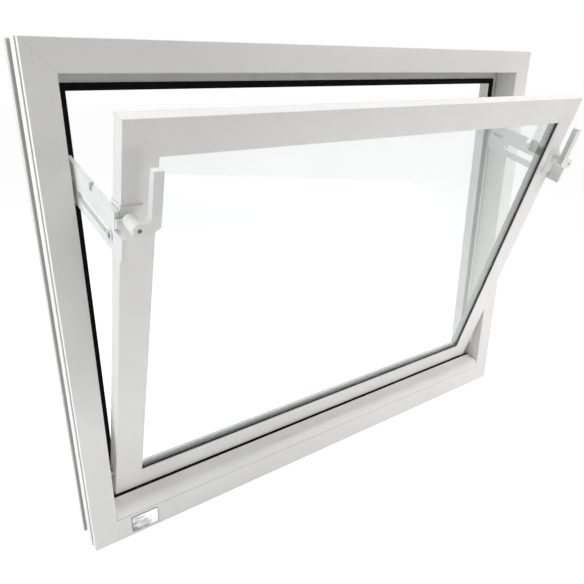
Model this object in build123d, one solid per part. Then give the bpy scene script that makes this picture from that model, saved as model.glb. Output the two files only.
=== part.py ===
from build123d import *
from math import cos, radians, sin, tan
import os

# A white plastic hopper window, shown tilted into the room.
# X runs along the sill, +Y goes outdoors, +Z is up, all in millimetres.
# The origin is on the flat land under the sill, halfway along it.

# Outer frame
frame_width = 800.0
frame_height = 600.0
frame_depth = 56.0
face_width = 32.0  # front leg, as seen from the room
room_face_y = -20.0  # the front face, so that the underside's land is at y = 0
lip_depth = 11.8  # front lip, in front of the recess for the stays
recess_cut = 1.5
leg_front = 38.5  # depth of the outer leg that the sash closes on
leg_reach = 16.6  # how far that leg stands in past the front leg
frame_wall = 2.2
frame_web = 1.6
edge_round = 0.8  # softened edges of the profiles

# Ribs on the outer side of the frame: groove spans, measured from the room face
slim_groove = (6.0, 12.3)
slim_groove_cut = 2.5
wall_groove = (27.2, 44.8)
wall_groove_cut = 4.5
back_step_depth = 5.0
back_step_cut = 1.5

# Frame gasket
gasket_offset = 9.2  # from the front leg's edge to the gasket's outer edge
gasket_nose = 3.1
gasket_tail = 0.6

# Sill strip, clipped on the front leg of the sill
strip_setback = 0.2
strip_back = 21.8
strip_rise = 19.4
strip_slope_angle = 18.0
strip_round = 12.5
strip_wall = 2.2
strip_end_gap = 0.3
seal_reach = 4.1
seal_thickness = 1.2
seal_stem = 2.2

# Bare metal plate on the sill
plate_width = 37.4
plate_height = 23.2
plate_thickness = 0.6
plate_round = 1.6
plate_from_left = 50.4
plate_from_bottom = 5.0

# Sash
tilt = 17.35  # degrees, open
side_gap = 10.3
top_gap = 10.3
sash_thickness = 19.1
sash_face = 36.0
sash_wall = 2.2
sash_gasket_gap = 0.3  # closed sash to the frame gasket's nose
sash_over_strip = 2.6  # closed sash to the top of the sill strip
hinge_depth = 28.0  # pivot line, from the room face
hinge_height = 87.0
heel_height = 52.0  # the bars are filled this far up at the lower corners
heel_gap = 0.5  # open sash's relieved heel to the gasket's nose
heel_side_gap = 0.8  # unrelieved back of the sash to the frame's outer leg

# Glazing
flange = 1.8
glass_seat = 3.0
glass_thickness = 4.0
glass_edge_cover = 9.0
gasket_cover = 7.0
rebate_width = 12.0
bead_gap = 0.3
bead_square = 4.4
bead_chamfer = 2.5
bead_wall = 1.8

# Hinge pins low on the sash sides
hinge_pin_radius = 4.0
hinge_pin_hold = 14.0
running_gap = 0.05
bearing_size = 20.0
bearing_depth = 6.5
bearing_back = 18.0

# Brackets that wrap the sash sides
bracket_thickness = 1.4
bracket_height = 36.4
bracket_width = 23.0
bracket_rise = 11.54  # above the lever's axis
hook_reach = 8.0  # the tab that holds the bracket to the sash's back edge
hook_height = 20.0
hook_gap = 0.3

# Stay arms
stay_thickness = 4.4
stay_gap = 0.5  # between a bracket and its stay
stay_pivot_depth = 22.3
stay_pivot_drop = 139.3  # below the frame's top
stay_above = 28.2  # pivot line to the upper edge
stay_below = 14.8
stay_tail = 12.0
stay_tail_round = 6.0
stay_shoulder = 119.5  # pivot to the upper end face
stay_reach = 137.5
stay_toe_top = 9.7
stay_corner = 0.8
stay_slot = (27.6, 110.5)
stay_slot_radius = 4.65
notch_at = 60.5
notch_width = 7.4
notch_depth = 8.0
latch_slot_at = 3.0
latch_slot_offset = 10.7
latch_slot_length = 23.0
latch_slot_width = 5.0
stay_pin_radius = 3.0
stay_pin_short = 0.2
stay_seat_gap = 0.3
stay_boss_radius = 6.0
stay_base = (21.0, 42.0, 3.0)
bush_bore = 3.7
bush_gap = 0.1
bush_flange_radius = 6.0
bush_flange = 1.5

# Levers
lever_axis_in = 6.7  # from the sash's side
lever_axis_drop = 91.24  # below the sash's top edge
lever_boss_radius = 7.2
lever_front = 28.0
grip_thickness = 8.0
grip_inner = 10.5
grip_width = 10.5
grip_height = 55.8
grip_fillet = 5.0
grip_round = 0.8
lever_edge_round = 0.6
link_rise = 5.6
link_drop = 3.6
toe_width = 6.0
tongue = (2.4, 6.0)
tongue_reach = 8.0
tongue_low = 8.0
tongue_high = 1.1
lever_seat_gap = 0.3
lever_hub_radius = 5.0
lever_shaft_radius = 3.0
lever_shaft_depth = 8.0
screw_hole_radius = 2.2
screw_hole_depth = 5.0
screw_gap = 0.1
screw_head = 2.2

# Sizes that follow from the ones above
opening_width = frame_width - 2 * face_width
opening_top = frame_height - face_width
leg_width = face_width + leg_reach
sash_width = opening_width - 2 * side_gap
strip_top = face_width + strip_rise
sash_bottom = strip_top + sash_over_strip
sash_height = opening_top - top_gap - sash_bottom
sash_front = leg_front - gasket_nose - sash_gasket_gap - sash_thickness
sash_side = sash_width / 2
bracket_side = sash_side + bracket_thickness
lever_axis_height = sash_height - lever_axis_drop
bracket_top = lever_axis_height + bracket_rise
stay_pivot_height = frame_height - stay_pivot_drop
stay_inner = bracket_side + stay_gap
stay_outer = stay_inner + stay_thickness
recess_side = frame_width / 2 - face_width + recess_cut
sides = {"left": -1, "right": 1}


def polygon(*points):
    """A flat face from its corner points."""
    return make_face(Polyline(*points, close=True).edges())


def softened(outline, radius, *corners):
    """An outline with the corners nearest to the given points rounded."""
    picked = [outline.vertices().sort_by_distance(corner)[0] for corner in corners]
    return fillet(picked, radius)


def block(x_span, y_span, z_span):
    """A box from its three spans."""
    spans = (x_span, y_span, z_span)
    size = [span[1] - span[0] for span in spans]
    middle = [(span[0] + span[1]) / 2 for span in spans]
    return Pos(*middle) * Box(*size)


def rod(radius, x_span, y, z):
    """A round bar along X."""
    length = x_span[1] - x_span[0]
    return Pos((x_span[0] + x_span[1]) / 2, y, z) * Rot(0, 90, 0) * Cylinder(radius, length)


def mirrored(shape, side):
    """A shape made for the right side, put on the side asked for."""
    return shape if side == "right" else mirror(shape, about=Plane.YZ)


def mitred_bar(section, length, width):
    """A bar along X from a section in depth and reach, with both ends cut at 45 degrees."""
    bar = extrude(Plane.YZ.offset(-length / 2) * section, amount=length)
    half = length / 2
    outline = polygon((-half, 0), (half, 0), (half - width, width), (width - half, width))
    wedge = extrude(Plane.XZ * outline, amount=2 * frame_depth, both=True)
    return bar & wedge


def ring_of_bars(section, width, height, reach):
    """Four mitred bars round a rectangle that stands on z = 0, by the side they are on."""
    level = mitred_bar(section, width, reach)
    upright = mitred_bar(section, height, reach)
    return {
        "bottom": level,
        "top": Pos(0, 0, height) * Rot(0, 180, 0) * level,
        "left": Pos(-width / 2, 0, height / 2) * Rot(0, 90, 0) * upright,
        "right": Pos(width / 2, 0, height / 2) * Rot(0, -90, 0) * upright,
    }


def chamber(depth_span, reach_span):
    """A closed chamber of a profile, as a rectangle in the section."""
    middle = ((depth_span[0] + depth_span[1]) / 2, (reach_span[0] + reach_span[1]) / 2)
    return Pos(*middle) * Rectangle(depth_span[1] - depth_span[0], reach_span[1] - reach_span[0])


def frame_section():
    """The frame profile: front leg, recess, outer leg, ribbed outer side and three chambers."""
    outline = polygon(
        (0, 0),
        (0, face_width),
        (lip_depth, face_width),
        (lip_depth, face_width - recess_cut),
        (leg_front, face_width - recess_cut),
        (leg_front, leg_width),
        (frame_depth, leg_width),
        (frame_depth, back_step_cut),
        (frame_depth - back_step_depth, back_step_cut),
        (frame_depth - back_step_depth, 0),
        (wall_groove[1], 0),
        (wall_groove[1], wall_groove_cut),
        (wall_groove[0], wall_groove_cut),
        (wall_groove[0], 0),
        (slim_groove[1], 0),
        (slim_groove[1], slim_groove_cut),
        (slim_groove[0], slim_groove_cut),
        (slim_groove[0], 0),
    )
    front_edges = [(0, 0), (0, face_width), (lip_depth, face_width)]
    back_edges = [(frame_depth, leg_width), (frame_depth, back_step_cut)]
    outline = softened(outline, edge_round, *front_edges, *back_edges)
    shelf = face_width - recess_cut - frame_wall
    front_back = wall_groove[0] - frame_wall
    middle = (front_back + frame_web, leg_front - frame_web)
    low = wall_groove_cut + frame_wall
    front = chamber((frame_wall, front_back), (slim_groove_cut + frame_wall, shelf))
    centre = chamber(middle, (low, shelf))
    outer = chamber((leg_front + frame_wall, frame_depth - frame_wall), (low, leg_width - frame_wall))
    return outline - front - centre - outer


def gasket_section():
    """The wedge-shaped rubber lip on the front of the outer leg."""
    outer_edge = face_width + gasket_offset
    return polygon(
        (leg_front, outer_edge - gasket_tail),
        (leg_front - gasket_nose, outer_edge),
        (leg_front - gasket_tail, leg_width),
        (leg_front, leg_width),
    )


def strip_section():
    """The clip-on strip of the sill, hollow, round towards the room."""
    foot = lip_depth + strip_end_gap
    shelf = face_width - recess_cut
    front_top = strip_top - (strip_back - strip_setback) * tan(radians(strip_slope_angle))
    outline = polygon(
        (strip_setback, face_width),
        (strip_setback, front_top),
        (strip_back, strip_top),
        (strip_back, shelf),
        (foot, shelf),
        (foot, face_width),
    )
    outline = softened(outline, strip_round, (strip_setback, front_top))
    hollow = polygon(
        (strip_setback + 2 * strip_wall, face_width + strip_wall),
        (strip_setback + 2 * strip_wall, front_top - 2 * strip_wall),
        (strip_back - strip_wall, strip_top - 2 * strip_wall),
        (strip_back - strip_wall, face_width + strip_wall),
    )
    return outline - hollow


def seal_section():
    """The black lip behind the strip, just under the open sash."""
    tip = strip_back + seal_reach
    return polygon(
        (strip_back, strip_top),
        (tip, strip_top - strip_end_gap),
        (tip, strip_top - seal_thickness),
        (strip_back + seal_thickness, strip_top - seal_thickness),
        (strip_back + seal_thickness, strip_top - seal_stem),
        (strip_back, strip_top - seal_stem),
    )


def sash_outline():
    """The sash profile, filled: a bar with a thin flange in front of the glass."""
    solid = sash_face - rebate_width
    outline = polygon(
        (0, 0),
        (0, sash_face),
        (flange, sash_face),
        (flange, solid),
        (sash_thickness, solid),
        (sash_thickness, 0),
    )
    return softened(outline, edge_round, (0, 0), (0, sash_face), (sash_thickness, 0))


def sash_chamber():
    """The hollow of the sash profile."""
    solid = sash_face - rebate_width
    return chamber((sash_wall, sash_thickness - sash_wall), (sash_wall, solid - sash_wall))


def heel_zone():
    """The sash's lower corners, where its bars are filled to carry the hinge pins."""
    corner = block((sash_side - sash_face, sash_side), (0, sash_thickness), (0, heel_height))
    return corner + mirror(corner, about=Plane.YZ)


def heel_relief():
    """What the lower back corners of the sash lose, so that they swing past the frame's legs."""
    clear_side = frame_width / 2 - leg_width - heel_side_gap
    front = room_face_y + leg_front - gasket_nose - heel_gap
    corner = block((clear_side, frame_width / 2), (front, front + frame_depth), (0, hinge_height))
    return corner + mirror(corner, about=Plane.YZ)


def glazing_gasket_section():
    """The flat black gasket between the flange and the glass."""
    return chamber((flange, glass_seat), (sash_face - gasket_cover, sash_face))


def bead_section():
    """The snap-in bead behind the glass, with a chamfer towards the open air."""
    front = glass_seat + glass_thickness
    foot = sash_face - rebate_width + bead_gap
    outline = polygon(
        (front, foot),
        (front, sash_face),
        (front + bead_square, sash_face),
        (sash_thickness, sash_face - bead_chamfer),
        (sash_thickness, foot),
    )
    hollow = chamber(
        (front + bead_wall, sash_thickness - bead_wall),
        (foot + bead_wall, sash_face - bead_chamfer - bead_wall),
    )
    return outline - hollow


def extruded_strip(section):
    """A square-ended bar between the jambs."""
    length = opening_width - 2 * strip_end_gap
    return extrude(Plane.YZ.offset(-length / 2) * section, amount=length)


def label_plate():
    """The bare metal plate on the sill's front face."""
    face = RectangleRounded(plate_width, plate_height, plate_round)
    left = plate_from_left - frame_width / 2
    middle = Pos(left + plate_width / 2, 0, plate_from_bottom + plate_height / 2)
    return middle * Rot(90, 0, 0) * extrude(face, amount=plate_thickness)


def glass_pane():
    """One sheet of glass, in the sash's own place."""
    edge = sash_face - glass_edge_cover
    return block(
        (edge - sash_side, sash_side - edge),
        (glass_seat, glass_seat + glass_thickness),
        (edge, sash_height - edge),
    )


def sash_bracket():
    """The right bracket: a plate on the sash's face and one on its side."""
    height = (bracket_top - bracket_height, bracket_top)
    front = block((bracket_side - bracket_width, bracket_side), (-bracket_thickness, 0), height)
    side = block((sash_side, bracket_side), (-bracket_thickness, sash_thickness), height)
    return front + side + bracket_hook(0) - lever_bore()


def bracket_hook(gap):
    """The bracket's tab on the sash's back edge. With a gap it cuts the recess that takes it."""
    middle = bracket_top - bracket_height / 2
    half = hook_height / 2 + gap
    depth = (sash_thickness - bracket_thickness, sash_thickness)
    return block((sash_side - hook_reach - gap, sash_side), depth, (middle - half, middle + half))


def lever_bore():
    """The hole for a lever's shaft, through the bracket and the sash's front wall."""
    depth = lever_shaft_depth + 2 * bracket_thickness
    hole = Rot(90, 0, 0) * Cylinder(lever_shaft_radius + running_gap, 2 * depth)
    return Pos(sash_side - lever_axis_in, 0, lever_axis_height) * hole


def lever_outline():
    """The lever's front, about its pivot: disc, link and upright grip."""
    grip_outer = grip_inner + grip_width
    arm = polygon(
        (0, -lever_boss_radius),
        (grip_outer - toe_width, -link_drop),
        (grip_outer, 0),
        (grip_outer, grip_height),
        (grip_inner, grip_height),
        (grip_inner, link_rise),
        (0, lever_boss_radius),
    )
    arm = softened(arm, grip_fillet, (grip_inner, link_rise))
    arm = softened(arm, grip_round, (grip_inner, grip_height), (grip_outer, grip_height))
    return arm + Circle(lever_boss_radius)


def lever():
    """The right lever, about its pivot on the sash's face, turning about Y."""
    front = -lever_front
    back = front + grip_thickness
    seat = -bracket_thickness - lever_seat_gap
    face = Plane((0, front, 0), x_dir=(-1, 0, 0), z_dir=(0, 1, 0))
    grip = extrude(face * lever_outline(), amount=grip_thickness)
    grip = fillet(grip.faces().sort_by(Axis.Y)[0].outer_wire().edges(), lever_edge_round)
    boss = disc_along_y(lever_boss_radius, (back, -tongue[1]))
    hub = disc_along_y(lever_hub_radius, (-tongue[0], seat))
    shaft = disc_along_y(lever_shaft_radius, (seat, lever_shaft_depth))
    latch = block((0, tongue_reach), (-tongue[1], -tongue[0]), (-tongue_low, tongue_high))
    latch = latch & disc_along_y(tongue_reach, (-tongue[1], -tongue[0]))
    cheek = disc_along_y(lever_hub_radius, (-tongue[1], -tongue[0]))
    hole = disc_along_y(screw_hole_radius, (front, front + screw_hole_depth))
    return grip + boss + hub + shaft + latch + cheek - hole


def lever_screw():
    """The screw at the bottom of the lever's hole."""
    floor = screw_hole_depth - lever_front
    return disc_along_y(screw_hole_radius - screw_gap, (floor - screw_head, floor))


def disc_along_y(radius, y_span):
    """A round disc or shaft along Y, centred on the Y axis."""
    length = y_span[1] - y_span[0]
    return Pos(0, (y_span[0] + y_span[1]) / 2, 0) * Rot(90, 0, 0) * Cylinder(radius, length)


def stay_outline():
    """The stay's side view: distance along it from the pivot, and height across it."""
    plate = polygon(
        (-stay_tail, 0),
        (-stay_tail, stay_above),
        (stay_shoulder, stay_above),
        (stay_shoulder, stay_toe_top),
        (stay_reach, stay_toe_top),
        (stay_reach, -stay_below),
        (0, -stay_below),
        (0, 0),
    )
    plate = softened(plate, stay_tail_round, (-stay_tail, stay_above))
    plate = softened(plate, stay_corner, (stay_reach, stay_toe_top), (stay_reach, -stay_below))
    tail = Circle(stay_below) & Pos(stay_below - stay_tail, 0) * Rectangle(2 * stay_below, 2 * stay_below)
    plate = plate + tail
    slot_length = stay_slot[1] - stay_slot[0]
    slot = Pos(sum(stay_slot) / 2, 0) * SlotCenterToCenter(slot_length, 2 * stay_slot_radius)
    notch = Pos(notch_at, stay_above) * Rectangle(notch_width, 2 * notch_depth)
    latch_slot = Pos(latch_slot_at, latch_slot_offset) * SlotOverall(latch_slot_length, latch_slot_width)
    return plate - slot - notch - latch_slot - Circle(stay_pin_radius + running_gap)


def along_stay(sketch, x_from, amount):
    """A sketch in the stay's own axes, put at its rest angle on the right side."""
    down = radians(tilt)
    pivot = (x_from, room_face_y + stay_pivot_depth, stay_pivot_height)
    plane = Plane(pivot, x_dir=(0, -cos(down), -sin(down)), z_dir=(-1, 0, 0))
    return extrude(plane * sketch, amount=amount)


def stay_arm():
    """The right stay: a slotted plate beside the sash."""
    return along_stay(stay_outline(), stay_outer, stay_thickness)


def stay_bush():
    """The hollow bush at the room end of the slot, with its flange on the stay's outer face."""
    centre = Pos(stay_slot[1], 0)
    body = centre * (Circle(stay_slot_radius - bush_gap) - Circle(bush_bore))
    rim = centre * (Circle(bush_flange_radius) - Circle(bush_bore))
    barrel = along_stay(body, stay_outer, stay_thickness)
    flange_ring = along_stay(rim, stay_outer + bush_flange, bush_flange)
    return barrel + flange_ring


def stay_bearing():
    """The pivot of the right stay: a base in the jamb's recess, a boss and a pin."""
    depth, height, base = stay_base
    y = room_face_y + stay_pivot_depth
    z = stay_pivot_height
    face = recess_side - base
    plate = block((face, recess_side), (y - depth / 2, y + depth / 2), (z - height / 2, z + height / 2))
    boss = rod(stay_boss_radius, (stay_outer + stay_seat_gap, face), y, z)
    pin = rod(stay_pin_radius, (stay_inner + stay_pin_short, face), y, z)
    return plate + boss + pin


def hinge_bearing():
    """The right hinge block, with the hole that the sash's pin runs in."""
    y = room_face_y + hinge_depth
    block_face = recess_side - bearing_depth
    back = room_face_y + leg_front
    height = (hinge_height - bearing_size / 2, hinge_height + bearing_size / 2)
    body = block((block_face, recess_side), (room_face_y + bearing_back, back), height)
    return body - rod(hinge_pin_radius + running_gap, (block_face, recess_side), y, hinge_height)


def hinge_pin():
    """The right hinge pin, from inside the stile to the jamb, on the pivot line."""
    span = (sash_side - hinge_pin_hold, recess_side - 2 * stay_seat_gap)
    return rod(hinge_pin_radius, span, room_face_y + hinge_depth, hinge_height)


def pin_hole():
    """The hole in the stile for the hinge pin, in the world's place."""
    span = (sash_side - hinge_pin_hold, recess_side)
    return rod(hinge_pin_radius + running_gap, span, room_face_y + hinge_depth, hinge_height)


# The sash's own axes start at its bottom front edge. This puts them at their place when shut,
# and then tilts them about the pivot line.
pivot_line = Pos(0, room_face_y + hinge_depth, hinge_height)
shut = Pos(0, room_face_y + sash_front, sash_bottom)
open_sash = pivot_line * Rot(tilt, 0, 0) * pivot_line.inverse() * shut

nodes = {}

frame_names = {"bottom": "sill", "top": "head", "left": "jamb_left", "right": "jamb_right"}
in_frame = Pos(0, room_face_y, 0)
frame_bars = ring_of_bars(frame_section(), frame_width, frame_height, leg_width)
frame_gaskets = ring_of_bars(gasket_section(), frame_width, frame_height, leg_width)
for place, name in frame_names.items():
    nodes["frame_" + name] = in_frame * frame_bars[place]
    nodes["frame_gasket_" + name] = in_frame * frame_gaskets[place]

nodes["sill_strip"] = in_frame * extruded_strip(strip_section())
nodes["sill_strip_seal"] = in_frame * extruded_strip(seal_section())
nodes["label_plate"] = in_frame * label_plate()

sash_names = {"bottom": "bottom_rail", "top": "top_rail", "left": "stile_left", "right": "stile_right"}
sash_bars = ring_of_bars(sash_outline() - sash_chamber(), sash_width, sash_height, sash_face)
filled_bars = ring_of_bars(sash_outline(), sash_width, sash_height, sash_face)
glazing_gaskets = ring_of_bars(glazing_gasket_section(), sash_width, sash_height, sash_face)
beads = ring_of_bars(bead_section(), sash_width, sash_height, sash_face)
for place, name in sash_names.items():
    bar = sash_bars[place]
    if place != "top":
        bar = bar + (filled_bars[place] & heel_zone())
    if place in sides:
        bar = bar - mirrored(lever_bore(), place) - mirrored(bracket_hook(hook_gap), place)
    bar = open_sash * bar
    if place != "top":
        bar = bar - heel_relief()
    if place in sides:
        bar = bar - mirrored(pin_hole(), place)
    nodes["sash_" + name] = bar
    nodes["glazing_gasket_" + place] = open_sash * glazing_gaskets[place]
    nodes["glazing_bead_" + place] = open_sash * beads[place]
nodes["glass_pane"] = open_sash * glass_pane()

lever_place = Pos(sash_side - lever_axis_in, 0, lever_axis_height)
for side in sides:
    nodes["sash_bracket_" + side] = open_sash * mirrored(sash_bracket(), side)
    nodes["lever_" + side] = open_sash * mirrored(lever_place * lever(), side)
    nodes["lever_screw_" + side] = open_sash * mirrored(lever_place * lever_screw(), side)
    nodes["hinge_pin_" + side] = mirrored(hinge_pin(), side)
    nodes["hinge_bearing_" + side] = mirrored(hinge_bearing(), side)
    nodes["stay_arm_" + side] = mirrored(stay_arm(), side)
    nodes["stay_bush_" + side] = mirrored(stay_bush(), side)
    nodes["stay_bearing_" + side] = mirrored(stay_bearing(), side)

os.makedirs("parts", exist_ok=True)
for name, shape in nodes.items():
    export_step(shape, "parts/" + name + ".step")
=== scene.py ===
from math import cos, pi, radians, sin

import bmesh
import bpy
from mathutils import Matrix, Vector


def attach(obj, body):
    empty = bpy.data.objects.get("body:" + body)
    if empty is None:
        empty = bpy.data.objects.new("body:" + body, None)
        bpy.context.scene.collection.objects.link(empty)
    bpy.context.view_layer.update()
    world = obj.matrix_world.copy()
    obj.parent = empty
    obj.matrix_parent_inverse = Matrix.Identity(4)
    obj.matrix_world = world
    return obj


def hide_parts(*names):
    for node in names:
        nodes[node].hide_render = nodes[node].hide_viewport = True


# A white plastic hopper window, tilted into the room on its two side stays.
# The CAD nodes get their finishes here, and the smallest parts are added. Ten nodes of the sash
# are shown by fitted copies, with a slimmer bottom rail and beads that stand off the glass.
# Lengths on the window are in millimetres, times MM where Blender takes metres.
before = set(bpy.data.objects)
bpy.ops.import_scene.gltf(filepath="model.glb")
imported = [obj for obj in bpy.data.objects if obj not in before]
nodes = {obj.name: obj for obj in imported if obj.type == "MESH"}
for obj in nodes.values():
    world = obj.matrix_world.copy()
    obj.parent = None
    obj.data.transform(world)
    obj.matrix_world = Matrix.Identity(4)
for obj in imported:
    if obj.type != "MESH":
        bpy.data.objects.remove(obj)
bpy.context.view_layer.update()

MM = 0.001

# How far the sash stands open, and the turns that open it and shut it
TILT = radians(17.35)
OPEN, SHUT = Matrix.Rotation(TILT, 3, "X"), Matrix.Rotation(-TILT, 3, "X")

# The line that the sash turns about: its place in the part, then how far it lies behind the
# sash's front face and above its bottom edge
PIVOT = Vector((0, 8.0, 87.0)) * MM
PIVOT_BEHIND, PIVOT_UP = 12.0, 33.0

# Half the sash's width, and its height along its own slope
SASH_HALF, SASH_HEIGHT = 357.7, 503.7

# Across the sash's bars, from their outer edge: the foot of the rebate, the inner edge, how much
# lower than in the CAD that edge lies on the bottom rail, and how far past it a lip may stand
REBATE_FOOT, INNER_EDGE, EDGE_DROP, LIP = 24.0, 36.0, 4.4, 0.5

# Behind the sash's front face: the glass's back, the gap that a bead's nose leaves to it, and
# how close to it a point counts as the nose
GLASS_BACK, BEAD_GAP, ON_FACE = 7.0, 0.3, 0.01

# The seal's section: how far in from the sash's outline, and how far behind its front face
# The rear stretch of the section runs over the bead chamfer, where the seal's grey is partly
# painted shade
SEAL_SECTION = (
    (36.02, 7.05),
    (36.4, 7.05),
    (36.35, 11.5),
    (33.9, 19.0),
    (33.58, 19.0),
    (36.02, 11.45),
)

# A lever's tongue: its section behind the sash's front face and above its bottom edge, where the
# tip starts and ends across the sash, and the rounding of its edges
TONGUE_SECTION = ((-6.05, 404.4), (-6.05, 413.6), (-3.4, 413.6), (-2.5, 412.5), (-2.5, 404.4))
TONGUE_START, TONGUE_END, TONGUE_ROUND = 352.5, 364.0, 0.18

# A lever's screw: its place across and up the sash, where the head's seat and face lie, and the
# head's radius, with the smaller one of its face and how deep the shoulder between them is
SCREW_ACROSS, SCREW_UP = 351.0, 412.46
SCREW_SEAT, SCREW_FACE = -23.0, -25.2
HEAD_RADIUS, FACE_RADIUS, SHOULDER = 2.1, 1.7, 0.5

# The screw's crosshead recess: an arm's length and half its width, and the recess's depth, with
# how small its bottom is beside its mouth
ARM_LENGTH, ARM_HALF, RECESS_DEPTH, RECESS_TAPER = 1.25, 0.36, 1.3, 0.7

# Where the sash's bottom edge lies along the axis that runs up its slope
SASH_FOOT = (SHUT @ PIVOT).z / MM - PIVOT_UP

# Outlines, each as its middle and half its size, across and up: the frame's, the sash's along its
# slope, and that of the bare plate on the sill
FRAME_OUTLINE = ((0.0, 300.0), (400.0, 300.0))
SASH_OUTLINE = ((0.0, SASH_FOOT + SASH_HEIGHT / 2), (SASH_HALF, SASH_HEIGHT / 2))
PLATE_OUTLINE = ((-330.9, 16.6), (18.7, 11.6))

# The axis that a bar runs along
LEVEL, UPRIGHT = 0, 2

# Where the colour sockets of a Mix node are
MIX_FACTOR, MIX_LOW, MIX_HIGH, MIX_RESULT = 0, 6, 7, 2


def linear(hex_colour):
    """An sRGB hex colour as linear RGB with alpha."""
    channels = [int(hex_colour[i:i + 2], 16) / 255 for i in (1, 3, 5)]
    return [c / 12.92 if c <= 0.04045 else ((c + 0.055) / 1.055) ** 2.4 for c in channels] + [1.0]


def add_node(tree, kind, inputs=None, out=0, **settings):
    """Adds a shader node, sets it, feeds its inputs from values or sockets, returns an output."""
    made = tree.nodes.new(kind)
    for name, value in settings.items():
        setattr(made, name, value)
    for name, value in (inputs or {}).items():
        if isinstance(value, bpy.types.NodeSocket):
            tree.links.new(value, made.inputs[name])
        else:
            made.inputs[name].default_value = value
    return made.outputs[out] if made.outputs else None


def new_material(name):
    """An empty node material and its tree."""
    material = bpy.data.materials.new(name)
    material.use_nodes = True
    material.node_tree.nodes.clear()
    return material, material.node_tree


def place_in_part(tree, tilted=False):
    """Where a point is, in metres. On the open sash the third axis runs up its slope."""
    place = add_node(tree, "ShaderNodeTexCoord", out="Object")
    if not tilted:
        return place
    return add_node(tree, "ShaderNodeMapping", {"Vector": place, "Rotation": (-TILT, 0, 0)})


def noise(tree, size_mm, low, high, detail=3.0, tilted=False):
    """Noise between two numbers, its lumps as long along X, Y and Z as size_mm says."""
    scale = [1 / (MM * size) for size in size_mm]
    inputs = {"Vector": place_in_part(tree, tilted), "Scale": scale}
    scaled = add_node(tree, "ShaderNodeMapping", inputs)
    inputs = {"Vector": scaled, "Scale": 1.0, "Detail": detail}
    lumps = add_node(tree, "ShaderNodeTexNoise", inputs)
    # Nearly all of the noise lies between 0.3 and 0.7
    spread = {"Value": lumps, "From Min": 0.3, "From Max": 0.7, "To Min": low, "To Max": high}
    return add_node(tree, "ShaderNodeMapRange", spread)


def inside_outline(tree, outline, tilted=False):
    """How far in a point lies from an outline's sides, and from its two ends, in metres."""
    place = place_in_part(tree, tilted)
    depths = []
    for axis, middle, half in zip("XZ", *outline):
        along = add_node(tree, "ShaderNodeSeparateXYZ", {"Vector": place}, axis)
        offset = add_node(tree, "ShaderNodeMath", {0: along, 1: MM * middle}, operation="SUBTRACT")
        apart = add_node(tree, "ShaderNodeMath", {0: offset}, operation="ABSOLUTE")
        inward = add_node(tree, "ShaderNodeMath", {0: MM * half, 1: apart}, operation="SUBTRACT")
        depths.append(inward)
    return depths


def weld_line(tree, outline, tilted=False):
    """One on the cleaned weld across each mitred corner of four bars, else zero."""
    weld_edge, clean_from = 0.2 * MM, 0.5 * MM
    from_side, from_end = inside_outline(tree, outline, tilted)
    apart = add_node(tree, "ShaderNodeMath", {0: from_side, 1: from_end}, operation="SUBTRACT")
    off_line = add_node(tree, "ShaderNodeMath", {0: apart}, operation="ABSOLUTE")
    fade = {"Value": off_line, "From Min": weld_edge, "From Max": clean_from}
    return add_node(tree, "ShaderNodeMapRange", {**fade, "To Min": 1.0, "To Max": 0.0})


def frame_welds_and_groove_shade(tree):
    """The welds of the frame's corners, and painted shade in the open grooves round it."""
    # The painted shade lies between two depths in from the outline, but covers the rear ribs' edges
    # too.
    # In front it fades out within a millimetre of the first groove
    shade_starts, shade_ends, groove_shade_strength = 1.2 * MM, 6.0 * MM, 2.4
    rear_ribs, first_groove = 28.3 * MM, -18.0 * MM
    from_side, from_end = inside_outline(tree, FRAME_OUTLINE)
    y = add_node(tree, "ShaderNodeSeparateXYZ", {"Vector": place_in_part(tree)}, "Y")
    depth = add_node(tree, "ShaderNodeMath", {0: from_side, 1: from_end}, operation="MINIMUM")
    sunk = add_node(tree, "ShaderNodeMath", {0: depth, 1: shade_starts}, operation="GREATER_THAN")
    rear = add_node(tree, "ShaderNodeMath", {0: y, 1: rear_ribs}, operation="GREATER_THAN")
    either = add_node(tree, "ShaderNodeMath", {0: sunk, 1: rear}, operation="MAXIMUM")
    shallow = add_node(tree, "ShaderNodeMath", {0: depth, 1: shade_ends}, operation="LESS_THAN")
    grooves = add_node(tree, "ShaderNodeMath", {0: either, 1: shallow}, operation="MULTIPLY")
    fade = {"Value": y, "From Min": first_groove - MM, "From Max": first_groove}
    behind = add_node(tree, "ShaderNodeMapRange", {**fade, "To Min": 0.0, "To Max": groove_shade_strength})
    painted_groove_shade = add_node(tree, "ShaderNodeMath", {0: grooves, 1: behind}, operation="MULTIPLY")
    weld = weld_line(tree, FRAME_OUTLINE)
    return add_node(tree, "ShaderNodeMath", {0: weld, 1: painted_groove_shade}, operation="MAXIMUM")


def sash_weld(tree):
    """The welds of the sash's four corners, which are cleaned until they hardly show."""
    what_is_left = 0.3
    line = weld_line(tree, SASH_OUTLINE, tilted=True)
    return add_node(tree, "ShaderNodeMath", {0: line, 1: what_is_left}, operation="MULTIPLY")


def painted_snap_shadow(tree):
    """A painted shadow line along the foot of the sill strip, where it snaps onto the frame."""
    line_top, clean_from, shadow_strength = 32.5 * MM, 32.9 * MM, 2.2
    z = add_node(tree, "ShaderNodeSeparateXYZ", {"Vector": place_in_part(tree)}, "Z")
    fade = {"Value": z, "From Min": line_top, "From Max": clean_from}
    return add_node(tree, "ShaderNodeMapRange", {**fade, "To Min": shadow_strength, "To Max": 0.0})


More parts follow.
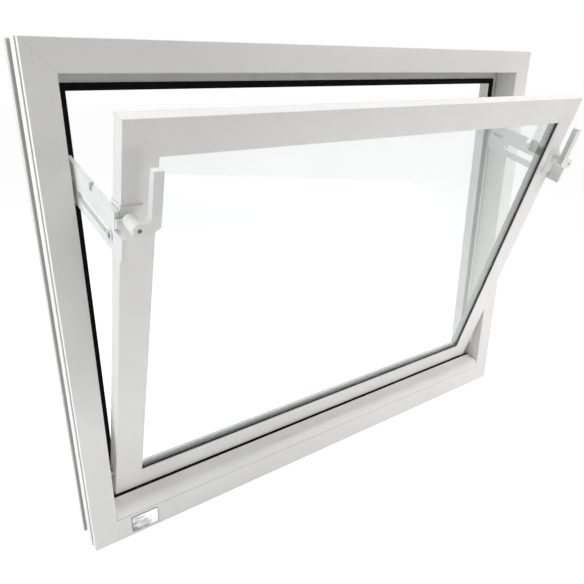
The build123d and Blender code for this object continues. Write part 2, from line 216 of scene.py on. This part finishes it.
def extruded_pvc(name, along, joint, tilted=False):
    """Rigid window PVC: warm near white and satin, with faint die lines and painted shade in its
    grooves.
    """
    material, tree = new_material(name)
    # Real die lines are a few tenths of a millimetre apart. These are coarser, so that they show
    lines_mm = [3.0, 3.0, 3.0]
    lines_mm[along] = 500.0
    die_lines = noise(tree, lines_mm, 0.0, 1.0, 2.0, tilted)
    cloud = noise(tree, (90.0, 90.0, 90.0), 0.0, 1.0)
    mark_strength = 0.25
    marks = {0: joint(tree), 1: mark_strength}
    marks_and_painted_shade = add_node(tree, "ShaderNodeMath", marks, operation="MULTIPLY")
    relief = add_node(tree, "ShaderNodeMath", {0: die_lines, 1: marks_and_painted_shade}, operation="SUBTRACT")
    bump = add_node(
        tree,
        "ShaderNodeBump",
        {"Height": relief, "Strength": 0.12, "Distance": 0.04 * MM},
    )
    plain = add_node(
        tree,
        "ShaderNodeMix",
        {MIX_FACTOR: cloud, MIX_LOW: linear("#F0EFEB"), MIX_HIGH: linear("#F5F4F1")},
        MIX_RESULT,
        data_type="RGBA",
    )
    # Painted shade: a groove greys by up to half where under three quarters of the air within 4 mm
    # is open
    reach = {"Distance": 4.0 * MM}
    open_air = add_node(tree, "ShaderNodeAmbientOcclusion", reach, "AO", samples=4)
    groove = {"Value": open_air, "From Min": 0.3, "From Max": 0.75, "To Min": 0.5, "To Max": 0.0}
    shade = add_node(tree, "ShaderNodeMapRange", groove)
    # Welds and the painted shade of grooves and joints darken the plastic towards this grey
    dark = add_node(tree, "ShaderNodeMath", {0: marks_and_painted_shade, 1: shade}, operation="MAXIMUM")
    colour = add_node(
        tree,
        "ShaderNodeMix",
        {MIX_FACTOR: dark, MIX_LOW: plain, MIX_HIGH: linear("#8E908E")},
        MIX_RESULT,
        data_type="RGBA",
    )
    shader = add_node(
        tree,
        "ShaderNodeBsdfPrincipled",
        {
            "Base Color": colour,
            "Roughness": noise(tree, (90.0, 90.0, 90.0), 0.34, 0.42),
            "IOR": 1.53,
            "Normal": bump,
        },
    )
    add_node(tree, "ShaderNodeOutputMaterial", {"Surface": shader})
    return material


def fitting_plastic(name, low_hex, high_hex, roughness):
    """Hard plastic of moulded or turned fittings: white, soft in its shine, with a fine grain."""
    material, tree = new_material(name)
    # A mould's spark-eroded grain is under a tenth of a millimetre. This one is coarser, to show
    grain = noise(tree, (0.9, 0.9, 0.9), 0.0, 1.0, 2.0)
    cloud = noise(tree, (25.0, 25.0, 25.0), 0.0, 1.0, 2.0)
    edge = add_node(tree, "ShaderNodeBevel", {"Radius": 0.4 * MM}, samples=4)
    bump = add_node(
        tree,
        "ShaderNodeBump",
        {"Height": grain, "Strength": 0.15, "Distance": 0.025 * MM, "Normal": edge},
    )
    colour = add_node(
        tree,
        "ShaderNodeMix",
        {MIX_FACTOR: cloud, MIX_LOW: linear(low_hex), MIX_HIGH: linear(high_hex)},
        MIX_RESULT,
        data_type="RGBA",
    )
    shader = add_node(
        tree,
        "ShaderNodeBsdfPrincipled",
        {
            "Base Color": colour,
            "Roughness": noise(tree, (25.0, 25.0, 25.0), roughness - 0.04, roughness + 0.04),
            "IOR": 1.53,
            "Normal": bump,
        },
    )
    add_node(tree, "ShaderNodeOutputMaterial", {"Surface": shader})
    return material


def rubber_seal(name, low_hex, high_hex):
    """Extruded EPDM rubber: dead matt, with a slightly uneven skin."""
    material, tree = new_material(name)
    skin_mm = (1.4, 1.4, 1.4)
    skin = noise(tree, skin_mm, 0.0, 1.0)
    cloud = noise(tree, (30.0, 30.0, 30.0), 0.0, 1.0)
    bump = add_node(
        tree,
        "ShaderNodeBump",
        {"Height": skin, "Strength": 0.3, "Distance": 0.04 * MM},
    )
    colour = add_node(
        tree,
        "ShaderNodeMix",
        {MIX_FACTOR: cloud, MIX_LOW: linear(low_hex), MIX_HIGH: linear(high_hex)},
        MIX_RESULT,
        data_type="RGBA",
    )
    shader = add_node(
        tree,
        "ShaderNodeBsdfPrincipled",
        {
            "Base Color": colour,
            "Roughness": noise(tree, skin_mm, 0.75, 0.9),
            "IOR": 1.5,
            "Specular IOR Level": 0.12,
            "Normal": bump,
        },
    )
    add_node(tree, "ShaderNodeOutputMaterial", {"Surface": shader})
    return material


def coated_glass(name):
    """Float glass with a hard heat-saving coat: clear, under a pale even veil of reflection."""
    material, tree = new_material(name)
    tint = add_node(
        tree,
        "ShaderNodeMix",
        {
            MIX_FACTOR: noise(tree, (120.0, 120.0, 120.0), 0.0, 1.0, 1.0),
            MIX_LOW: linear("#EBEFEE"),
            MIX_HIGH: linear("#F0F3F2"),
        },
        MIX_RESULT,
        data_type="RGBA",
    )
    shader = add_node(
        tree,
        "ShaderNodeBsdfPrincipled",
        {
            "Base Color": tint,
            "Roughness": 0.0,
            "IOR": 1.52,
            "Specular IOR Level": 0.8,
            "Transmission Weight": 1.0,
            "Coat Weight": 1.0,
            "Coat IOR": 1.6,
            "Coat Roughness": 0.0,
        },
    )
    add_node(tree, "ShaderNodeOutputMaterial", {"Surface": shader})
    return material


def plated_steel(name):
    """Zinc-plated steel: pale cool grey with a soft shine, mottled by the plating's crystals."""
    material, tree = new_material(name)
    # Bright plating has crystals far under a millimetre. These are coarser, so that they show
    crystals_mm = (2.5, 2.5, 2.5)
    bump = add_node(
        tree,
        "ShaderNodeBump",
        {"Height": noise(tree, crystals_mm, 0.0, 1.0), "Strength": 0.2, "Distance": 0.02 * MM},
    )
    colour = add_node(
        tree,
        "ShaderNodeMix",
        {
            MIX_FACTOR: noise(tree, crystals_mm, 0.0, 1.0),
            MIX_LOW: linear("#A9AEB2"),
            MIX_HIGH: linear("#C4C8CA"),
        },
        MIX_RESULT,
        data_type="RGBA",
    )
    shader = add_node(
        tree,
        "ShaderNodeBsdfPrincipled",
        {
            "Base Color": colour,
            "Metallic": 1.0,
            "Roughness": noise(tree, crystals_mm, 0.29, 0.43),
            "Normal": bump,
        },
    )
    add_node(tree, "ShaderNodeOutputMaterial", {"Surface": shader})
    return material


def pressed_plate(name):
    """A small pressed plate in satin nickel: a painted soft cloudy reflection and painted shade
    along its edge.
    """
    material, tree = new_material(name)
    # Painted shade: the colour darkens within the outer 1.2 mm of the plate's outline
    from_side, from_end = inside_outline(tree, PLATE_OUTLINE)
    inset = add_node(tree, "ShaderNodeMath", {0: from_side, 1: from_end}, operation="MINIMUM")
    edge_shade_width, edge_shade_fades = 0.7 * MM, 1.2 * MM
    fade = {"Value": inset, "From Min": edge_shade_width, "From Max": edge_shade_fades}
    painted_edge_shade = add_node(tree, "ShaderNodeMapRange", {**fade, "To Min": 1.0, "To Max": 0.0})

    # A painted reflection: the colour climbs from dull at the plate's lower left corner to bright
    # at its upper right one
    place = place_in_part(tree)
    x, z = (add_node(tree, "ShaderNodeSeparateXYZ", {"Vector": place}, axis) for axis in "XZ")
    climb = add_node(tree, "ShaderNodeMath", {0: x, 1: z}, operation="ADD")
    middle = sum(PLATE_OUTLINE[0])
    dull_corner, bright_corner = (middle - 22.0) * MM, (middle + 20.0) * MM
    painted_shine_range = {"Value": climb, "From Min": dull_corner, "From Max": bright_corner}
    painted_reflection = add_node(tree, "ShaderNodeMapRange", {**painted_shine_range, "To Min": 0.0, "To Max": 1.0})
    wave = noise(tree, (12.0, 12.0, 7.0), -0.4, 0.4, 1.0)
    waves = {0: painted_reflection, 1: wave}
    painted_reflection_clouds = add_node(tree, "ShaderNodeMath", waves, operation="ADD", use_clamp=True)
    painted_shine_sheet = add_node(
        tree,
        "ShaderNodeMix",
        {MIX_FACTOR: painted_reflection_clouds, MIX_LOW: linear("#85888A"), MIX_HIGH: linear("#EEF0F1")},
        MIX_RESULT,
        data_type="RGBA",
    )
    colour = add_node(
        tree,
        "ShaderNodeMix",
        {MIX_FACTOR: painted_edge_shade, MIX_LOW: painted_shine_sheet, MIX_HIGH: linear("#7C7E80")},
        MIX_RESULT,
        data_type="RGBA",
    )
    brushed = noise(tree, (12.0, 12.0, 0.3), 0.0, 1.0, 2.0)
    bump = add_node(
        tree,
        "ShaderNodeBump",
        {"Height": brushed, "Strength": 0.15, "Distance": 0.02 * MM},
    )
    shader = add_node(
        tree,
        "ShaderNodeBsdfPrincipled",
        {"Base Color": colour, "Metallic": 1.0, "Roughness": 0.34, "Normal": bump},
    )
    add_node(tree, "ShaderNodeOutputMaterial", {"Surface": shader})
    return material


pvc_level = extruded_pvc("extruded_pvc_level", LEVEL, frame_welds_and_groove_shade)
pvc_upright = extruded_pvc("extruded_pvc_upright", UPRIGHT, frame_welds_and_groove_shade)
pvc_strip = extruded_pvc("extruded_pvc_strip", LEVEL, painted_snap_shadow)
pvc_sash_level = extruded_pvc("extruded_pvc_sash_level", LEVEL, sash_weld, tilted=True)
pvc_sash_upright = extruded_pvc("extruded_pvc_sash_upright", UPRIGHT, sash_weld, tilted=True)
polyamide = fitting_plastic("moulded_polyamide", "#EFEFED", "#F4F4F2", 0.42)
acetal = fitting_plastic("turned_acetal", "#E2E4E5", "#EAECED", 0.36)
black_epdm = rubber_seal("extruded_black_epdm", "#050505", "#0B0B0C")
grey_epdm = rubber_seal("extruded_grey_epdm", "#737475", "#7D7E7F")
glass = coated_glass("float_glass")
nickel = pressed_plate("pressed_satin_nickel")
zinc = plated_steel("zinc_plated_steel")

# The finish of each node, by the longest of these starts that its name has
FINISH = {
    "frame_sill": pvc_level,
    "frame_head": pvc_level,
    "frame_jamb": pvc_upright,
    "frame_gasket": black_epdm,
    "sill_strip": pvc_strip,
    "sill_strip_seal": black_epdm,
    "label_plate": nickel,
    "sash_bottom_rail": pvc_sash_level,
    "sash_top_rail": pvc_sash_level,
    "sash_stile": pvc_sash_upright,
    "glazing_gasket": black_epdm,
    "glazing_bead_bottom": pvc_sash_level,
    "glazing_bead_top": pvc_sash_level,
    "glazing_bead": pvc_sash_upright,
    "glass_pane": glass,
    "sash_bracket": polyamide,
    "lever": polyamide,
    "lever_screw": zinc,
    "hinge_pin": zinc,
    "hinge_bearing": polyamide,
    "stay_arm": polyamide,
    "stay_bush": acetal,
    "stay_bearing": polyamide,
}
for name, obj in nodes.items():
    known = max((start for start in FINISH if name.startswith(start)), key=len)
    obj.data.materials.clear()
    obj.data.materials.append(FINISH[known])


def put_in_scene(name, data):
    """A new object in the scene, from a mesh, a lamp or a camera."""
    made = bpy.data.objects.new(name, data)
    bpy.context.scene.collection.objects.link(made)
    return made


def on_sash(x, behind, up):
    """A point of the open sash, from how far across it is, behind its face and above its foot."""
    shut = Vector((x, behind - PIVOT_BEHIND, up - PIVOT_UP)) * MM
    return OPEN @ shut + PIVOT


def in_sash(point):
    """Where a point in metres lies on the open sash, as on_sash takes it."""
    shut = SHUT @ (point - PIVOT) / MM
    return shut.x, shut.y + PIVOT_BEHIND, shut.z + PIVOT_UP


def fitted(name):
    """A sash node's copy, with the bottom rail's inner edge lowered and the bead off the glass."""
    piece = put_in_scene("fitted_" + name, nodes[name].data.copy())
    for vertex in piece.data.vertices:
        x, behind, up = in_sash(vertex.co)
        if abs(x) < SASH_HALF - REBATE_FOOT and REBATE_FOOT < up < INNER_EDGE + LIP:
            up -= EDGE_DROP * min((up - REBATE_FOOT) / (INNER_EDGE - REBATE_FOOT), 1.0)
        if name.startswith("glazing_bead") and abs(behind - GLASS_BACK) < ON_FACE:
            behind += BEAD_GAP
        vertex.co = on_sash(x, behind, up)
    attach(piece, "sash")
    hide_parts(name)


def add_piece(name, build, material, body):
    """Turns a bmesh into a piece that moves with a body and takes its finish from a slot."""
    bmesh.ops.recalc_face_normals(build, faces=build.faces)
    mesh = bpy.data.meshes.new(name)
    build.to_mesh(mesh)
    build.free()
    mesh.materials.append(material)
    piece = put_in_scene(name, mesh)
    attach(piece, body)
    return piece


def ring_of_points(build, outline, behind, centre=(0.0, 0.0), scale=1.0):
    """Vertices of a closed outline at one depth on the open sash, scaled about its centre."""
    points = [(centre[0] + scale * x, centre[1] + scale * z) for x, z in outline]
    return [build.verts.new(on_sash(across, behind, up)) for across, up in points]


def join_rings(build, first, second):
    """A wall between two closed outlines with the same number of points."""
    for i in range(len(first)):
        build.faces.new((first[i - 1], first[i], second[i], second[i - 1]))


def bead_seal():
    """The grey seal round the pane, a skin over the beads' inner edge and chamfer; over the chamfer
    its grey is partly painted shade.
    """
    build = bmesh.new()
    rings = []
    for inset, behind in SEAL_SECTION:
        across, low, high = SASH_HALF - inset, inset - EDGE_DROP, SASH_HEIGHT - inset
        corners = [(-across, low), (across, low), (across, high), (-across, high)]
        rings.append(ring_of_points(build, corners, behind))
    for i in range(len(rings)):
        join_rings(build, rings[i - 1], rings[i])
    add_piece("bead_seal", build, grey_epdm, "sash")


def tongue_tip(side, sign):
    """The end of a lever's tongue, which reaches across the stay beside it."""
    build = bmesh.new()
    start, end = (
        [build.verts.new(on_sash(sign * across, behind, up)) for behind, up in TONGUE_SECTION]
        for across in (TONGUE_START, TONGUE_END)
    )
    join_rings(build, start, end)
    build.faces.new(start)
    build.faces.new(end)
    rounded = {"offset": TONGUE_ROUND * MM, "segments": 2, "affect": "EDGES", "profile": 0.5}
    bmesh.ops.bevel(build, geom=build.edges[:], **rounded)
    add_piece("tongue_tip_" + side, build, polyamide, "lever_" + side)


def crosshead_screw(side, sign):
    """A screw head with a crosshead recess, in place of the plain one in the lever's boss."""
    centre = (sign * SCREW_ACROSS, SCREW_UP)
    rim = [(cos(i * pi / 20), sin(i * pi / 20)) for i in range(40)]
    corner = [(ARM_LENGTH, -ARM_HALF), (ARM_LENGTH, ARM_HALF), (ARM_HALF, ARM_HALF)]
    turns = (0, pi / 2, pi, 1.5 * pi)
    cross = [
        (x * cos(turn) - z * sin(turn), x * sin(turn) + z * cos(turn))
        for turn in turns
        for x, z in corner
    ]
    build = bmesh.new()
    base = ring_of_points(build, rim, SCREW_SEAT, centre, HEAD_RADIUS)
    shoulder = ring_of_points(build, rim, SCREW_FACE + SHOULDER, centre, HEAD_RADIUS)
    edge = ring_of_points(build, rim, SCREW_FACE, centre, FACE_RADIUS)
    mouth = ring_of_points(build, cross, SCREW_FACE, centre)
    pit = ring_of_points(build, cross, SCREW_FACE + RECESS_DEPTH, centre, RECESS_TAPER)
    join_rings(build, base, shoulder)
    join_rings(build, shoulder, edge)
    join_rings(build, mouth, pit)
    build.faces.new(base)
    build.faces.new(pit)
    loops = [
        build.edges.get((ring[i - 1], ring[i])) for ring in (edge, mouth) for i in range(len(ring))
    ]
    bmesh.ops.triangle_fill(build, use_beauty=True, edges=loops)
    head = add_piece("screw_head_" + side, build, zinc, "lever_" + side)
    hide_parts("lever_screw_" + side)


bead_seal()
for name in ("sash_bottom_rail", "sash_stile_left", "sash_stile_right"):
    fitted(name)
for edge in ("bottom", "top", "left", "right"):
    fitted("glazing_bead_" + edge)
for edge in ("bottom", "left", "right"):
    fitted("glazing_gasket_" + edge)
for side, sign in (("left", -1), ("right", 1)):
    tongue_tip(side, sign)
    crosshead_screw(side, sign)


def seen_by_eye(tree):
    """One where the camera looks, straight, in a reflection or through the glass, else zero."""
    through = add_node(tree, "ShaderNodeLightPath", out="Is Transmission Ray")
    in_shine = add_node(tree, "ShaderNodeLightPath", out="Is Glossy Ray")
    straight = add_node(tree, "ShaderNodeLightPath", out="Is Camera Ray")
    bounces = add_node(tree, "ShaderNodeLightPath", out="Diffuse Depth")
    by_glass = add_node(tree, "ShaderNodeMath", {0: through, 1: in_shine}, operation="MAXIMUM")
    looked_at = add_node(tree, "ShaderNodeMath", {0: straight, 1: by_glass}, operation="MAXIMUM")
    # A ray that has bounced off a matt surface brings light and isn't the eye's
    direct = add_node(tree, "ShaderNodeMath", {0: bounces, 1: 0.5}, operation="LESS_THAN")
    return add_node(tree, "ShaderNodeMath", {0: looked_at, 1: direct}, operation="MULTIPLY")


def stage_material(name, hex_colour, glow):
    """The studio's white paper: white to the eye, and it still takes a soft shadow."""
    material, tree = new_material(name)
    paper = add_node(tree, "ShaderNodeBsdfDiffuse", {"Color": linear(hex_colour)})
    white = {"Color": linear("#FFFFFF"), "Strength": glow}
    light = add_node(tree, "ShaderNodeEmission", white)
    both = add_node(tree, "ShaderNodeAddShader", {0: paper, 1: light})
    pick = add_node(tree, "ShaderNodeMixShader", {0: seen_by_eye(tree), 1: paper, 2: both})
    add_node(tree, "ShaderNodeOutputMaterial", {"Surface": pick})
    return material


def studio_floor():
    """A round pale floor, which the window all but touches."""
    radius, gap = 12.0, 0.2 * MM
    mesh = bpy.data.meshes.new("floor")
    build = bmesh.new()
    bmesh.ops.create_circle(build, cap_ends=True, segments=64, radius=radius)
    build.to_mesh(mesh)
    build.free()
    floor = put_in_scene("floor", mesh)
    mesh.materials.append(stage_material("white_paper", "#F2F2F2", 0.75))
    floor.location = (0, 0, -gap)


def softbox(name, place, target, size, power, spread=180, tint="#FFFFFF", mirrored=True):
    """A rectangular soft lamp that faces a point. One not mirrored doesn't show in the glass."""
    lamp = bpy.data.lights.new(name, "AREA")
    lamp.shape = "RECTANGLE"
    lamp.size, lamp.size_y = size
    lamp.energy = power
    lamp.color = linear(tint)[:3]
    lamp.spread = radians(spread)
    box = put_in_scene(name, lamp)
    box.location = place
    box.rotation_euler = (Vector(target) - Vector(place)).to_track_quat("-Z", "Y").to_euler()
    box.visible_glossy = box.visible_transmission = mirrored


def studio_world(lean):
    """A soft dome of light that leans one way. The eye and the glass see it as plain white."""
    world = bpy.data.worlds.new("studio")
    world.use_nodes = True
    tree = world.node_tree
    tree.nodes.clear()
    way = add_node(tree, "ShaderNodeTexCoord", out="Generated")
    facing = {0: way, 1: lean}
    towards = add_node(tree, "ShaderNodeVectorMath", facing, "Value", operation="DOT_PRODUCT")
    dome = add_node(tree, "ShaderNodeMath", {0: towards, 1: 0.0}, operation="MAXIMUM")
    levels = {"Value": seen_by_eye(tree), "To Min": dome, "To Max": 1.0}
    strength = add_node(tree, "ShaderNodeMapRange", levels)
    white = {"Color": linear("#FFFFFF"), "Strength": strength}
    back = add_node(tree, "ShaderNodeBackground", white)
    add_node(tree, "ShaderNodeOutputWorld", {"Surface": back})
    bpy.context.scene.world = world


def studio_camera():
    """The camera at the photograph's angle, from the left and a little above."""
    place = (-0.55012, -0.63183, 0.56745)
    turn, down, roll = radians(35.8555), radians(22.0369), radians(-0.1374)
    forward = Vector((sin(turn) * cos(down), cos(turn) * cos(down), -sin(down)))
    level = Vector((cos(turn), -sin(turn), 0))
    upward = level.cross(forward)
    right = level * cos(roll) + upward * sin(roll)
    top = upward * cos(roll) - level * sin(roll)
    lens = bpy.data.cameras.new("camera")
    lens.sensor_width = 36.0
    lens.lens = 36.2655
    lens.shift_x = 0.02005
    lens.shift_y = 0.03374
    lens.clip_start = 0.05
    camera = put_in_scene("camera", lens)
    turned = Matrix((right, top, -forward)).transposed().to_4x4()
    camera.matrix_world = Matrix.Translation(place) @ turned
    bpy.context.scene.camera = camera


COOL_WHITE = "#F9FCFF"
studio_floor()
studio_world((0.125, -0.209, 0.378))
softbox("lamp_top", (0.0, -0.12, 1.1), (0.0, -0.12, 0.5), (1.3, 0.3), 1.08, spread=70)
softbox("lamp_left_side", (-1.1, 0.13, 0.5), (-0.3, 0.13, 0.4), (0.3, 1.0), 2.3, tint=COOL_WHITE)
softbox("lamp_left_edge", (-1.2, -0.14, 0.5), (-0.3, -0.05, 0.4), (0.2, 1.0), 2.95, tint=COOL_WHITE)
softbox("lamp_back_left", (-0.7, 0.9, 0.4), (0.35, 0.03, 0.3), (0.4, 0.6), 0.53)
softbox("lamp_back", (0.0, 2.2, 0.45), (0.0, 0.0, 0.3), (0.8, 0.6), 2.2, spread=60, mirrored=False)
softbox("lamp_high", (0.9, -1.0, 0.9), (0.2, 0.0, 0.5), (0.5, 0.5), 4.7)
softbox("lamp_low", (0.2, -0.6, 0.06), (0.1, -0.05, 0.2), (0.9, 0.1), 0.95, mirrored=False)
softbox("lamp_floor", (-0.1, -0.25, 0.45), (-0.1, -0.25, 0.0), (0.9, 0.1), 0.17, spread=40)
studio_camera()
bpy.context.scene.view_settings.view_transform = "Standard"
